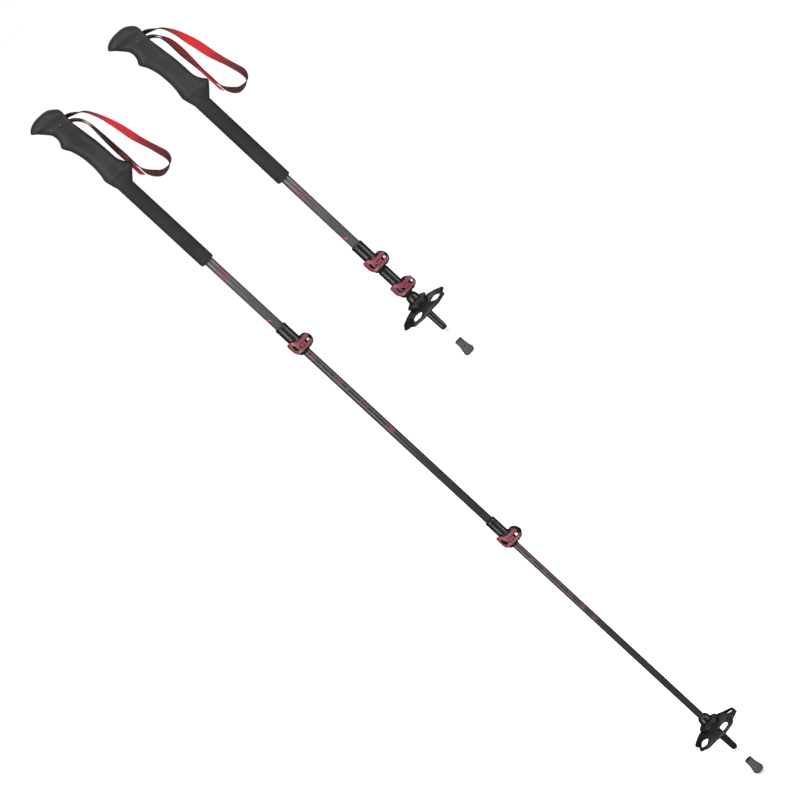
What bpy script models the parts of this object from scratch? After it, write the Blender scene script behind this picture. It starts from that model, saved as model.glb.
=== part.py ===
"""A pair of three-section trekking poles with cam-lever locks.

Pole a is drawn out to 1.35 m and pole b is pushed together to 0.62 m.  Both stand tip down along Z,
level at the grips, with their beaks towards -X and their straps and lock lugs towards +X.
The origin is where a hand closes round the grip of pole a, on that pole's axis.
"""
import math

import bmesh
import bpy
from mathutils import Matrix, Vector

MM = 0.001
GAP = 0.3                    # clearance between pieces that touch, in mm

# Lengths below are in mm.  Heights along a pole are measured from the top of its grip, downwards.
GRIP_TOP = 100.0             # the top of the grip above the hand, where the origin is
POLE_SPACING = 154.8
MIDDLE_TRAVEL = 355.7        # how far the middle section slides into the upper one
LOWER_TRAVEL = 372.8         # how far the lower section slides into the middle one

TUBE_TOP = 46.5              # the upper tube stops under the strap's slot in the grip
COLLAR_TOP = 441.9           # the top of the upper collar
COLLAR_LENGTH = 50.8
LOCK_DROP = 38.2             # from a collar's top to the middle of its lever
MIDDLE_DROP = 849.0          # the top of the lower collar on the drawn-out pole
FERRULE_DROP = 1273.4        # the top of the ferrule on the drawn-out pole
CAP_GAP = 18.0               # between the point and the rubber cap below it

UPPER_R, MIDDLE_R, LOWER_R = 7.0, 6.0, 5.0
WALL = 0.65
MIDDLE_TUBE_UP, MIDDLE_TUBE_DOWN = 442.0, 48.3
LOWER_TUBE_UP, LOWER_TUBE_DOWN = 472.6, 13.7
TUBE_SIDES = 24
FRONT_POWER = 2.3            # how square the front of the grip is: 2 is an ellipse

SLEEVE_CENTRE, SLEEVE_R, SLEEVE_END = -1.0, 11.3, 305.4
SLOT_TOP, SLOT_FLOOR, SLOT_DEPTH, SLOT_HALF = 19.2, 43.0, -10.6, 10.3
PIN_X, PIN_DROP, PIN_R = -1.4, 26.6, 2.0
STRAP_WIDTH, STRAP_THICK = 18.0, 1.6
BASKET_DROP = 11.3           # the basket's top under the ferrule's top
POINT_DROP = 77.1            # the point's end under the ferrule's top
FERRULE_END = 69.8
CAP_LENGTH, CAP_BORE_DEPTH = 25.3, 20.5
UPPER_TURN = {"a": -4.5, "b": -3.5}       # degrees that the upper lock is turned about the pole
SECTION_TURN = {"a": -14.0, "b": 7.5}   # degrees that the middle section is turned about the pole
BASKET_TURN = {"a": 1.0, "b": 25.5}      # the direction of each basket's first lobe

# Sections of the grip: front x, front drop, rear x, rear drop, half width, and how square the rear is.
GRIP_SECTIONS = [
    (-23.9, 0.3, -11.6, 0.0, 5.0, 2.3), (-29.4, 1.8, -3.0, 1.1, 9.5, 2.3),
    (-34.2, 4.4, 3.6, 3.8, 12.4, 2.3), (-37.4, 8.3, 10.5, 9.8, 14.5, 2.6),
    (-36.2, 10.6, 12.9, 13.6, 15.0, 4.0), (-31.5, 15.0, 13.8, 18.0, 15.3, 6.0),
    (-23.4, 24.9, 13.8, 26.0, 15.0, 6.0), (-19.4, 31.0, 13.5, 31.5, 14.6, 6.0),
    (-18.2, 38.5, 13.1, 38.5, 13.8, 6.0), (-19.8, 45.5, 13.2, 45.5, 13.5, 5.0),
    (-23.2, 51.5, 14.0, 51.5, 13.7, 3.4), (-21.6, 57.0, 14.6, 57.0, 13.8, 2.6),
    (-17.6, 65.0, 15.4, 65.0, 13.8, 2.3), (-13.9, 81.0, 17.1, 81.0, 13.8, 2.3),
    (-12.9, 100.0, 17.9, 100.0, 13.7, 2.3), (-14.2, 115.5, 18.4, 115.5, 14.0, 2.3),
    (-16.4, 126.0, 22.4, 126.4, 14.8, 2.3), (-15.4, 133.0, 27.3, 133.6, 15.0, 2.3),
    (-14.4, 138.0, 25.0, 138.6, 14.2, 2.3), (-12.4, 145.6, 10.7, 153.1, 11.4, 2.3)]

# The strap's route: x, drop, y, and the width that shows from the front (negative shows its back).
TAIL = {
    "a": [(25.7, 162.0, 18.0, 4.6), (25.6, 143.5, 18.0, 4.6), (25.6, 123.0, 17.5, 4.4),
          (25.6, 102.5, 8.0, 3.6), (25.8, 84.0, 1.5, 2.4), (26.2, 68.0, 0.0, 1.4),
          (25.9, 59.0, 0.0, 0.8), (24.6, 52.2, 0.0, 0.4), (22.2, 46.2, 0.0, 0.0),
          (19.5, 42.2, 0.0, 0.0), (16.6, 39.3, 0.0, 0.0), (13.3, 37.0, 0.0, 0.0),
          (7.5, 34.9, 0.0, 0.0), (2.5, 32.6, 0.0, 0.0)],
    "b": [(29.6, 160.5, 0.0, 1.6), (29.4, 143.5, 0.0, 1.4), (29.3, 121.0, 0.0, 1.6),
          (29.1, 107.0, 0.0, 3.5), (29.0, 96.0, 0.0, 5.2), (28.9, 84.0, 0.0, 6.6),
          (28.8, 70.2, 0.0, 6.2), (28.0, 60.8, 0.0, 4.6), (26.0, 53.2, 0.0, 2.4),
          (23.2, 46.9, 0.0, 0.8), (19.9, 42.2, 0.0, 0.0), (16.7, 39.2, 0.0, 0.0),
          (13.3, 37.0, 0.0, 0.0), (7.5, 34.9, 0.0, 0.0), (2.5, 32.6, 0.0, 0.0)]}
HEAD_EXIT = [(6.8, 24.6, 0.0, -4.0), (13.7, 26.8, 0.0, -7.0), (19.1, 29.4, 0.0, -6.4),
             (26.0, 33.8, 0.0, -3.6), (34.2, 40.2, 0.0, 0.0)]
OUTER_RUN = {
    "a": [(39.6, 49.2, 0.0, 2.2), (44.4, 61.5, 0.0, 3.8), (48.3, 75.2, 0.0, 6.4),
          (52.0, 91.6, 0.0, 8.8), (54.9, 109.4, 0.0, 10.0), (57.8, 123.0, 0.0, 8.6),
          (61.8, 138.1, 0.0, 7.8), (65.6, 153.1, 0.0, 8.8)],
    "b": [(39.6, 49.2, 0.0, 3.0), (44.4, 61.5, 0.0, 7.0), (47.8, 75.2, 0.0, 10.3),
          (51.7, 91.6, 0.0, 11.9), (54.7, 109.4, 0.0, 11.5), (57.8, 123.0, 0.0, 9.8),
          (61.8, 138.1, 0.0, 8.0), (65.6, 153.1, 0.0, 8.2)]}
FOOT_TURN = [(67.6, 164.0, 0.0, 8.8), (64.9, 172.8, 0.0, 5.0), (57.4, 176.6, 0.0, 0.0),
             (46.5, 175.8, 0.0, -5.4)]
RETURN_RUN = {
    "a": [(39.0, 169.5, 0.0, -7.4), (32.8, 159.5, 0.0, -4.6), (30.2, 147.6, 0.0, 0.5),
          (29.8, 134.0, 0.0, 1.6), (30.0, 120.0, 0.0, 1.8), (29.3, 102.0, 0.0, 2.0),
          (28.8, 84.0, 0.0, 2.2), (28.5, 68.0, 0.0, 1.4), (28.1, 58.3, 0.0, 0.8),
          (26.7, 51.1, 0.0, 0.4), (24.1, 44.8, 0.0, 0.0), (20.8, 40.2, 0.0, 0.0),
          (17.6, 36.9, 0.0, 0.0), (13.7, 34.2, 0.0, 0.0), (8.6, 32.0, 0.0, 0.0),
          (5.9, 30.6, 0.0, 0.0)],
    "b": [(39.4, 169.5, 0.0, -6.6), (34.0, 159.5, 0.0, -3.0), (32.2, 147.6, 0.0, 0.6),
          (31.9, 134.0, 0.0, 1.4), (31.6, 121.0, 0.0, 1.6), (31.4, 107.0, 0.0, 3.5),
          (31.3, 96.0, 0.0, 5.2), (31.3, 84.0, 0.0, 6.6), (31.2, 70.0, 0.0, 6.2),
          (30.4, 60.0, 0.0, 4.6), (28.2, 52.0, 0.0, 2.4), (25.0, 45.2, 0.0, 0.8),
          (21.3, 40.0, 0.0, 0.0), (17.8, 36.7, 0.0, 0.0), (13.7, 34.2, 0.0, 0.0),
          (8.6, 32.0, 0.0, 0.0), (5.9, 30.6, 0.0, 0.0)]}

MATERIALS = {  # colour, roughness, metallic
    "grip": ((0.030, 0.029, 0.030), 0.75, 0.0), "foam": ((0.026, 0.025, 0.026), 0.9, 0.0),
    "strap": ((0.55, 0.02, 0.035), 0.8, 0.0), "shaft": ((0.055, 0.055, 0.057), 0.35, 0.6),
    "collar": ((0.012, 0.012, 0.013), 0.3, 0.0), "lever": ((0.42, 0.06, 0.08), 0.4, 0.0),
    "steel": ((0.62, 0.61, 0.58), 0.3, 1.0), "bush": ((0.05, 0.05, 0.055), 0.5, 0.0),
    "basket": ((0.018, 0.016, 0.015), 0.45, 0.0), "rubber": ((0.07, 0.07, 0.075), 0.8, 0.0),
    "carbide": ((0.70, 0.68, 0.62), 0.25, 1.0)}


# ---------------------------------------------------------------- mesh helpers

def finished(bm, name="shape"):
    """Turn a bmesh in mm into a mesh in metres with its faces pointing out."""
    bmesh.ops.recalc_face_normals(bm, faces=bm.faces)
    bmesh.ops.scale(bm, vec=(MM, MM, MM), verts=bm.verts)
    mesh = bpy.data.meshes.new(name)
    bm.to_mesh(mesh)
    bm.free()
    return mesh


def bridged(bm, rings, closed):
    """Join rings of vertices in order; a ring of one vertex is a point on the axis."""
    pairs = list(zip(rings, rings[1:]))
    if closed:
        pairs.append((rings[-1], rings[0]))
    for first, second in pairs:
        count = max(len(first), len(second))
        for i in range(count):
            j = (i + 1) % count
            corners = [first[i % len(first)], first[j % len(first)]]
            corners += [second[j % len(second)], second[i % len(second)]]
            bm.faces.new(list(dict.fromkeys(corners)))


def turned(profile, sides=TUBE_SIDES, outline=None):
    """Spin (radius, z) points round Z; outline, if given, moves a radius for each direction."""
    bm = bmesh.new()
    rings = []
    for radius, z in profile:
        if radius == 0:
            rings.append([bm.verts.new((0, 0, z))])
            continue
        ring = []
        for i in range(sides):
            angle = math.tau * i / sides
            r = outline(radius, angle) if outline else radius
            ring.append(bm.verts.new((r * math.cos(angle), r * math.sin(angle), z)))
        rings.append(ring)
    bridged(bm, rings, closed=profile[0][0] > 0)
    return finished(bm)


def tube(outer, inner, bottom, top, sides=TUBE_SIDES):
    return turned([(outer, top), (outer, bottom), (inner, bottom), (inner, top)], sides)


def rod(radius, bottom, top, sides=12):
    return turned([(0, top), (radius, top), (radius, bottom), (0, bottom)], sides)


def extruded(outline, low, high, axis="Z"):
    """Extrude an outline: (x, y) points along Z, or (x, z) points along Y."""
    bm = bmesh.new()
    rings = []
    for level in (low, high):
        if axis == "Z":
            rings.append([bm.verts.new((a, b, level)) for a, b in outline])
        else:
            rings.append([bm.verts.new((a, level, b)) for a, b in outline])
    bridged(bm, rings, closed=False)
    for ring in rings:
        bm.faces.new(ring)
    return finished(bm)


def block(x, y, z):
    """A box from three (low, high) pairs."""
    corners = [(x[0], y[0]), (x[1], y[0]), (x[1], y[1]), (x[0], y[1])]
    return extruded(corners, z[0], z[1])


def moved(mesh, offset=(0, 0, 0), turn=None):
    """A copy of a mesh, turned by a rotation matrix and then moved, in mm."""
    copy = mesh.copy()
    if turn:
        copy.transform(turn)
    copy.transform(Matrix.Translation(Vector(offset) * MM))
    return copy


def combined(base, other, operation):
    """The mesh of base with other joined to it, cut from it or kept in common with it."""
    blanks = [bpy.data.objects.new("blank", base), bpy.data.objects.new("tool", other)]
    for blank in blanks:
        bpy.context.scene.collection.objects.link(blank)
    step = blanks[0].modifiers.new("combine", "BOOLEAN")
    step.operation = operation
    step.object = blanks[1]
    bpy.context.view_layer.update()
    seen = blanks[0].evaluated_get(bpy.context.evaluated_depsgraph_get())
    result = bpy.data.meshes.new_from_object(seen)
    for blank in blanks:
        bpy.data.objects.remove(blank)
    return result


def cut(base, *tools):
    for tool in tools:
        base = combined(base, tool, "DIFFERENCE")
    return base


ALONG_Y = Matrix.Rotation(math.radians(90), 4, "X")


# ---------------------------------------------------------------- grip, sleeve and strap

def section_ring(bm, section, sides=24):
    """One rounded section of the grip, tilted from its front drop to its rear drop."""
    front, front_drop, rear, rear_drop, half, rear_power = section
    ring = []
    for i in range(sides):
        angle = math.tau * i / sides
        power = rear_power if math.cos(angle) > 0 else FRONT_POWER
        across = math.copysign(abs(math.cos(angle)) ** (2 / power), math.cos(angle))
        side = math.copysign(abs(math.sin(angle)) ** (2 / power), math.sin(angle))
        share = (across + 1) / 2
        drop = front_drop + (rear_drop - front_drop) * share
        ring.append(bm.verts.new((front + (rear - front) * share, half * side, -drop)))
    return ring


def grip_mesh():
    bm = bmesh.new()
    rings = [section_ring(bm, section) for section in GRIP_SECTIONS]
    bridged(bm, rings, closed=False)
    bm.faces.new(rings[0])
    bm.faces.new(rings[-1])
    body = finished(bm)
    bore = rod(UPPER_R + GAP + 0.1, -170, -TUBE_TOP + GAP, TUBE_SIDES)
    slot = block((SLOT_DEPTH, 30), (-SLOT_HALF, SLOT_HALF), (-SLOT_FLOOR, -SLOT_TOP))
    pin_hole = moved(rod(PIN_R + GAP, -20, 20), (PIN_X, 0, -PIN_DROP), ALONG_Y)
    return cut(body, bore, slot, pin_hole)


def sleeve_mesh():
    """The foam sleeve, whose top follows the slanted lower edge of the grip."""
    front, front_drop, rear, rear_drop = GRIP_SECTIONS[-1][:4]
    bm = bmesh.new()
    rings = []
    for radius, shift, tilt, drop in (
            (UPPER_R + GAP, 0, 1, 0), (SLEEVE_R, SLEEVE_CENTRE, 1, 0),
            (SLEEVE_R, SLEEVE_CENTRE, 0, SLEEVE_END - 1.5),
            (SLEEVE_R - 1.2, SLEEVE_CENTRE, 0, SLEEVE_END), (UPPER_R + GAP, 0, 0, SLEEVE_END)):
        ring = []
        for i in range(TUBE_SIDES):
            angle = math.tau * i / TUBE_SIDES
            x = shift + radius * math.cos(angle)
            slant = front_drop + (rear_drop - front_drop) * (x - front) / (rear - front) + GAP
            ring.append(bm.verts.new((x, radius * math.sin(angle), -(slant if tilt else drop))))
        rings.append(ring)
    bridged(bm, rings, closed=True)
    return finished(bm)


def smooth_route(points, spacing=7.0):
    """Points along a Catmull-Rom curve through the route's own points."""
    ends = [points[0]] + points + [points[-1]]
    route = []
    for p0, p1, p2, p3 in zip(ends, ends[1:], ends[2:], ends[3:]):
        steps = max(1, round((p2 - p1).length / spacing))
        for i in range(steps):
            t = i / steps
            route.append(0.5 * (2 * p1 + (p2 - p0) * t + (2 * p0 - 5 * p1 + 4 * p2 - p3) * t ** 2
                                + (3 * p1 - p0 - 3 * p2 + p3) * t ** 3))
    return route + [points[-1]]


def strap_mesh(pole):
    """The webbing: its loose tail, one turn round the pin, the outer run and the return run."""
    wrap_r = PIN_R + 0.5 + STRAP_THICK / 2
    wrap = []
    for degrees in (-80, -115, -150, 180, 150, 115, 80):
        angle = math.radians(degrees)
        wrap.append((PIN_X + wrap_r * math.cos(angle), PIN_DROP - wrap_r * math.sin(angle), 0, 0))
    stations = TAIL[pole] + wrap + HEAD_EXIT + OUTER_RUN[pole] + FOOT_TURN + RETURN_RUN[pole]
    route = smooth_route([Vector((x, y, -drop, shown)) for x, drop, y, shown in stations])
    bm = bmesh.new()
    rings = []
    for i, point in enumerate(route):
        ahead = (route[min(i + 1, len(route) - 1)] - route[max(i - 1, 0)]).to_3d().normalized()
        level = ahead.cross(Vector((0, 1, 0))).normalized()
        lean = max(-1.0, min(1.0, point.w / STRAP_WIDTH))
        side = level * lean + Vector((0, 1, 0)) * math.sqrt(1 - lean ** 2)
        side = (side - ahead * side.dot(ahead)).normalized() * STRAP_WIDTH / 2
        face = ahead.cross(side).normalized() * STRAP_THICK / 2
        centre = point.to_3d()
        rings.append([bm.verts.new(centre + a * side + b * face)
                      for a, b in ((-1, -1), (1, -1), (1, 1), (-1, 1))])
    bridged(bm, rings, closed=False)
    bm.faces.new(rings[0])
    bm.faces.new(rings[-1])
    return finished(bm)


# ---------------------------------------------------------------- the cam-lever locks

def lock_sizes(tube_r, clamp_r):
    """The numbers that a lock's pieces share, worked out from the tube that its collar holds."""
    arm_out = clamp_r + 3.2
    return {"bore": tube_r + GAP + 0.1, "lip": tube_r - 0.6, "top_r": tube_r + 2.2, "clamp_r": clamp_r,
            "arm_in": clamp_r + 0.35, "arm_out": arm_out, "pivot": (15.0, 4.7 - arm_out),
            "lug_front": 9.8 - arm_out}


UPPER_LOCK = lock_sizes(UPPER_R, 10.7)
LOWER_LOCK = lock_sizes(MIDDLE_R, 10.4)
FORK_R = 4.7
LUG_BACK = 6.0
BARREL_R = 2.4
SCREW_R = 1.1


def collar_mesh(lock):
    """A collar with a split clamp at its foot and two lugs for the tension screw."""
    top, foot = LOCK_DROP, LOCK_DROP - COLLAR_LENGTH
    clamp, lip = lock["clamp_r"], lock["lip"]
    body = turned([(lock["bore"], top), (lock["top_r"] - 0.8, top), (lock["top_r"], top - 2.2),
                   (lock["top_r"], 10.0), (clamp, 8.2), (clamp, foot + 4.5), (clamp - 1.6, foot + 1.6),
                   (clamp - 3.2, foot), (lip, foot), (lip, foot + 2.0), (lock["bore"], foot + 2.0)])
    lug_outline = [(clamp - 2.4, 8.4), (13.0, 8.9), (17.0, 6.3), (19.9, 1.6), (20.8, -3.0),
                   (19.8, -6.8), (17.2, -9.6), (13.0, -11.2), (clamp - 2.4, foot)]
    lug = extruded(lug_outline, lock["lug_front"], LUG_BACK, axis="Y")
    slit = block((0, 30), (-0.7, 0.7), (foot - 5, 13))
    screw_hole = moved(rod(SCREW_R + GAP + 0.05, -20, 20), (lock["pivot"][0], 0, 0), ALONG_Y)
    bore = rod(lock["bore"], foot + 2.0, top + 5, TUBE_SIDES)
    return cut(combined(body, lug, "UNION"), bore, slit, screw_hole)


def lever_mesh(lock):
    """The lever, about its pivot: a fork round the barrel and an arm that wraps the collar."""
    pivot_x, pivot_y = lock["pivot"]
    arc_out = [math.radians(a) for a in range(270, 175, -10)]
    plan = [(lock["arm_out"] * math.cos(a), lock["arm_out"] * math.sin(a)) for a in arc_out]
    plan += [(lock["arm_in"] * math.cos(a), lock["arm_in"] * math.sin(a)) for a in reversed(arc_out)]
    plan.append((4.0, -lock["arm_in"]))
    fork = [math.radians(a) for a in range(185, -91, -25)]
    plan += [(pivot_x + FORK_R * math.cos(a), pivot_y + FORK_R * math.sin(a)) for a in fork]
    body = extruded(plan, -11, 17)
    front = [(-25, 9.0), (-14.2, 9.6), (-12.6, 11.8), (-10.6, 13.2), (-8.2, 13.9), (-5.8, 13.8),
             (-4.0, 13.0), (-1.0, 10.2), (0.8, 8.3), (2.8, 7.4), (16.4, 7.6), (18.6, 5.8), (20.6, 2.6),
             (20.6, -2.6), (18.7, -5.4), (16.4, -7.0), (11.0, -7.5), (5.0, -7.0), (-3.5, -6.9),
             (-8.8, -7.3), (-12.2, -4.8), (-13.6, 0.0), (-25, 2.0)]
    body = combined(body, extruded(front, -25, 10, axis="Y"), "INTERSECT")
    window = extruded([(-8.2, 7.6), (-8.8, 0.8), (-6.9, -2.4), (1.0, -1.9), (1.2, 0.0),
                       (-3.4, 3.4), (-5.6, 7.6)], -25, -2, axis="Y")
    slot = block((pivot_x - 4.9, 30), (-25, 10), (-2.8, 2.8))
    barrel_hole = moved(rod(BARREL_R + 0.35, -20, 20), (pivot_x, pivot_y, 0))
    return moved(cut(body, window, slot, barrel_hole), (-pivot_x, -pivot_y, 0))


def barrel_mesh():
    """The pivot barrel, drilled across for the tension screw."""
    drill = moved(rod(SCREW_R + GAP, -10, 10), turn=ALONG_Y)
    return cut(rod(BARREL_R, -6.2, 6.4), drill)


def screw_mesh(lock):
    """The tension screw, about its own axis: a slotted head behind the lugs and a long shank."""
    shank_end = lock["pivot"][1] - BARREL_R - 1.2
    head = LUG_BACK + GAP
    body = turned([(0, shank_end), (SCREW_R, shank_end), (SCREW_R, head), (2.9, head),
                   (2.9, head + 1.7), (2.2, head + 2.4), (0, head + 2.4)], 16)
    slot = block((-4, 4), (-0.45, 0.45), (head + 1.4, head + 5))
    return moved(cut(body, slot), turn=ALONG_Y.inverted())


def nut_mesh(lock):
    """The square nut on the front of the barrel, seen through the fork of the lever."""
    near = lock["pivot"][1] - BARREL_R - GAP
    body = block((-1.7, 1.7), (near - 1.5, near), (-1.7, 1.7))
    return cut(body, moved(rod(SCREW_R + GAP, -30, 30), turn=ALONG_Y))


# ---------------------------------------------------------------- bushes, ferrule, basket and cap

def guide_mesh(tube_r, tube_up):
    """A plastic bush that plugs the top of a sliding tube and runs in the tube outside it."""
    spigot = tube_r - WALL - GAP
    top = tube_up + GAP + 3.0
    return turned([(spigot - 1.0, top), (tube_r, top), (tube_r, tube_up + GAP),
                   (spigot, tube_up + GAP), (spigot, tube_up - 11), (spigot - 1.0, tube_up - 11)], 18)


def ferrule_mesh():
    """The plastic ferrule: a bell over the tube's end, a threaded core and a long nose."""
    socket = LOWER_R + GAP + 0.1
    return turned([(0, -LOWER_TUBE_DOWN - GAP), (socket, -LOWER_TUBE_DOWN - GAP), (socket, 0),
                   (socket + 0.5, 0), (7.6, -2.0), (8.8, -5.2), (9.3, -9.0), (9.3, -11.0),
                   (6.5, -11.0), (6.5, -22.6), (5.6, -24.0), (5.5, -32.0), (5.2, -50.0),
                   (5.0, -58.0), (4.9, -66.0), (4.0, -FERRULE_END), (2.4, -FERRULE_END), (2.4, -60.0),
                   (0, -60.0)], 20)


def point_mesh():
    """The carbide point: a stem in the ferrule and a cone with a hollow end."""
    top = -FERRULE_END - GAP
    return turned([(0, -60.5), (2.0, -60.5), (2.0, top), (3.2, top), (1.9, -POINT_DROP + 0.6),
                   (1.6, -POINT_DROP), (0, -POINT_DROP + 0.8)], 16)


LOBES = 5
RIM_R, NOTCH_R, WEB_R = 41.0, 34.0, 24.0


def rim(direction):
    """The basket's outer radius: straight ends on five lobes with shallow notches between."""
    pitch = math.tau / LOBES
    off = abs((direction + pitch / 2) % pitch - pitch / 2)
    corner = math.radians(14)
    if off <= corner:
        return RIM_R * math.cos(corner) / math.cos(off)
    share = (off - corner) / (pitch / 2 - corner)
    return RIM_R + (NOTCH_R - RIM_R) * share ** 0.8


def basket_outline(radius, direction):
    if radius <= WEB_R:
        return radius
    return WEB_R + (radius - WEB_R) * (rim(direction) - WEB_R) / (RIM_R - WEB_R)


def basket_mesh():
    """The trail basket: a stepped hub and a drooping five-lobed plate with a hole in each lobe."""
    plate = turned([(6.9, 0), (13.0, 0), (15.8, -1.8), (16.8, -3.4), (16.8, -7.4), (20.0, -9.3),
                    (25.0, -10.6), (30.0, -11.9), (35.0, -14.2), (39.2, -16.8), (RIM_R, -18.2),
                    (RIM_R, -20.6), (38.6, -20.2), (35.0, -16.6), (30.0, -14.0), (25.0, -12.6),
                    (20.0, -12.0), (16.0, -11.0), (6.9, -11.0)], 40, basket_outline)
    hole = [(25.6, -5.2), (27.6, -8.5), (33.6, -8.3), (36.6, -4.8), (36.6, 4.8), (33.6, 8.3),
            (27.6, 8.5), (25.6, 5.2)]
    cutters = []
    for lobe in range(LOBES):
        turn = Matrix.Rotation(math.tau * lobe / LOBES, 4, "Z")
        cutters.append(moved(extruded(hole, -30, 0), turn=turn))
    return cut(plate, *cutters)


def cap_mesh():
    """The rubber cap for hard ground, with a blind socket above and a flat sole."""
    return turned([(0, -CAP_BORE_DEPTH), (5.3, -CAP_BORE_DEPTH), (5.3, 0), (5.8, 0), (5.9, -8.0),
                   (6.4, -13.0), (7.6, -17.4), (7.3, -18.3), (8.2, -19.4), (8.4, -21.4),
                   (7.4, -24.0), (6.2, -CAP_LENGTH), (0, -CAP_LENGTH)], 20)


# ---------------------------------------------------------------- assembly

def material(name):
    found = bpy.data.materials.get(name)
    if found:
        return found
    colour, roughness, metallic = MATERIALS[name]
    made = bpy.data.materials.new(name)
    made.use_nodes = True
    shader = made.node_tree.nodes["Principled BSDF"]
    shader.inputs["Base Color"].default_value = (*colour, 1)
    shader.inputs["Roughness"].default_value = roughness
    shader.inputs["Metallic"].default_value = metallic
    made.diffuse_color = (*colour, 1)
    return made


def joint_empty(name, parent, location, turn=0.0):
    """An empty on a joint's axis; the pieces that move together are parented to it."""
    empty = bpy.data.objects.new(name, None)
    bpy.context.scene.collection.objects.link(empty)
    empty.parent = parent
    empty.location = Vector(location) * MM
    empty.rotation_euler = (0, 0, math.radians(turn))
    empty.empty_display_size = 0.02
    return empty


def piece(name, mesh, parent, look):
    mesh.materials.clear()
    mesh.materials.append(material(look))
    mesh.shade_smooth()
    mesh.set_sharp_from_angle(angle=math.radians(35))
    made = bpy.data.objects.new(name, mesh)
    bpy.context.scene.collection.objects.link(made)
    made.parent = parent
    return made


def add_lock(prefix, pole, section, drop, turn, lock, shared):
    """A lock's pieces on a section: the lever and the screw each have their own axis."""
    pivot_x, pivot_y = lock["pivot"]
    centre = joint_empty(f"{prefix}_lock_{pole}", section, (0, 0, -drop), turn)
    lever_axis = joint_empty(f"{prefix}_lever_axis_{pole}", centre, (pivot_x, pivot_y, 0))
    screw_axis = joint_empty(f"{prefix}_screw_axis_{pole}", centre, (pivot_x, 0, 0))
    piece(f"{prefix}_collar_{pole}", shared["collar"], centre, "collar")
    piece(f"{prefix}_lever_{pole}", shared["lever"], lever_axis, "lever")
    piece(f"{prefix}_pivot_{pole}", shared["barrel"], lever_axis, "steel")
    piece(f"{prefix}_screw_{pole}", shared["screw"], screw_axis, "steel")
    piece(f"{prefix}_nut_{pole}", shared["nut"], screw_axis, "steel")


def lock_meshes(lock):
    return {"collar": collar_mesh(lock), "lever": lever_mesh(lock), "barrel": barrel_mesh(),
            "screw": screw_mesh(lock), "nut": nut_mesh(lock)}


def shared_meshes():
    """Each mesh that both poles use, made once."""
    return {
        "grip": grip_mesh(), "sleeve": sleeve_mesh(),
        "pin": moved(rod(PIN_R, -14.2, 14.2), turn=ALONG_Y),
        "wedge": block((SLOT_DEPTH + GAP, PIN_X - PIN_R - 0.5 - STRAP_THICK - GAP), (-9, 9),
                       (-PIN_DROP - 6, -PIN_DROP + 6)),
        "upper_tube": tube(UPPER_R, UPPER_R - WALL, -COLLAR_TOP - COLLAR_LENGTH + 2.4, -TUBE_TOP),
        "middle_tube": tube(MIDDLE_R, MIDDLE_R - WALL, -MIDDLE_TUBE_DOWN, MIDDLE_TUBE_UP),
        "lower_tube": tube(LOWER_R, LOWER_R - WALL, -LOWER_TUBE_DOWN, LOWER_TUBE_UP),
        "middle_guide": guide_mesh(MIDDLE_R, MIDDLE_TUBE_UP),
        "lower_guide": guide_mesh(LOWER_R, LOWER_TUBE_UP),
        "upper_lock": lock_meshes(UPPER_LOCK), "lower_lock": lock_meshes(LOWER_LOCK),
        "ferrule": ferrule_mesh(), "point": point_mesh(), "basket": basket_mesh(),
        "cap": cap_mesh(), "washer": rod(4.3, -CAP_BORE_DEPTH + GAP, -CAP_BORE_DEPTH + 1.3)}


def add_pole(pole, x, pushed, shared):
    """One pole; pushed is 0 where the sections are drawn out and 1 where they are pushed in."""
    upper = joint_empty(f"upper_section_{pole}", None, (x, 0, GRIP_TOP))
    middle = joint_empty(f"middle_section_{pole}", upper,
                         (0, 0, -MIDDLE_DROP + pushed * MIDDLE_TRAVEL), SECTION_TURN[pole])
    lower = joint_empty(f"lower_section_{pole}", middle,
                        (0, 0, MIDDLE_DROP - FERRULE_DROP + pushed * LOWER_TRAVEL),
                        -SECTION_TURN[pole])
    strap_axis = joint_empty(f"strap_axis_{pole}", upper, (PIN_X, 0, -PIN_DROP))
    basket_axis = joint_empty(f"basket_axis_{pole}", lower, (0, 0, -BASKET_DROP), BASKET_TURN[pole])
    cap_axis = joint_empty(f"cap_axis_{pole}", lower, (0, 0, -POINT_DROP - CAP_GAP))

    piece(f"grip_{pole}", shared["grip"], upper, "grip")
    piece(f"foam_sleeve_{pole}", shared["sleeve"], upper, "foam")
    piece(f"upper_tube_{pole}", shared["upper_tube"], upper, "shaft")
    piece(f"strap_wedge_{pole}", shared["wedge"], upper, "bush")
    piece(f"strap_pin_{pole}", shared["pin"], strap_axis, "steel")
    strap = moved(strap_mesh(pole), (-PIN_X, 0, PIN_DROP))
    piece(f"strap_{pole}", strap, strap_axis, "strap")
    add_lock("upper", pole, upper, COLLAR_TOP + LOCK_DROP, UPPER_TURN[pole], UPPER_LOCK,
             shared["upper_lock"])

    piece(f"middle_tube_{pole}", shared["middle_tube"], middle, "shaft")
    piece(f"middle_guide_{pole}", shared["middle_guide"], middle, "bush")
    add_lock("lower", pole, middle, LOCK_DROP, 0.0, LOWER_LOCK, shared["lower_lock"])

    piece(f"lower_tube_{pole}", shared["lower_tube"], lower, "shaft")
    piece(f"lower_guide_{pole}", shared["lower_guide"], lower, "bush")
    piece(f"ferrule_{pole}", shared["ferrule"], lower, "collar")
    piece(f"carbide_point_{pole}", shared["point"], lower, "carbide")
    piece(f"basket_{pole}", shared["basket"], basket_axis, "basket")
    piece(f"cap_{pole}", shared["cap"], cap_axis, "rubber")
    piece(f"cap_washer_{pole}", shared["washer"], cap_axis, "steel")


def main():
    for old in list(bpy.data.objects):
        bpy.data.objects.remove(old)
    shared = shared_meshes()
    add_pole("a", 0.0, 0, shared)
    add_pole("b", POLE_SPACING, 1, shared)
    bpy.context.view_layer.update()


main()
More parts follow.
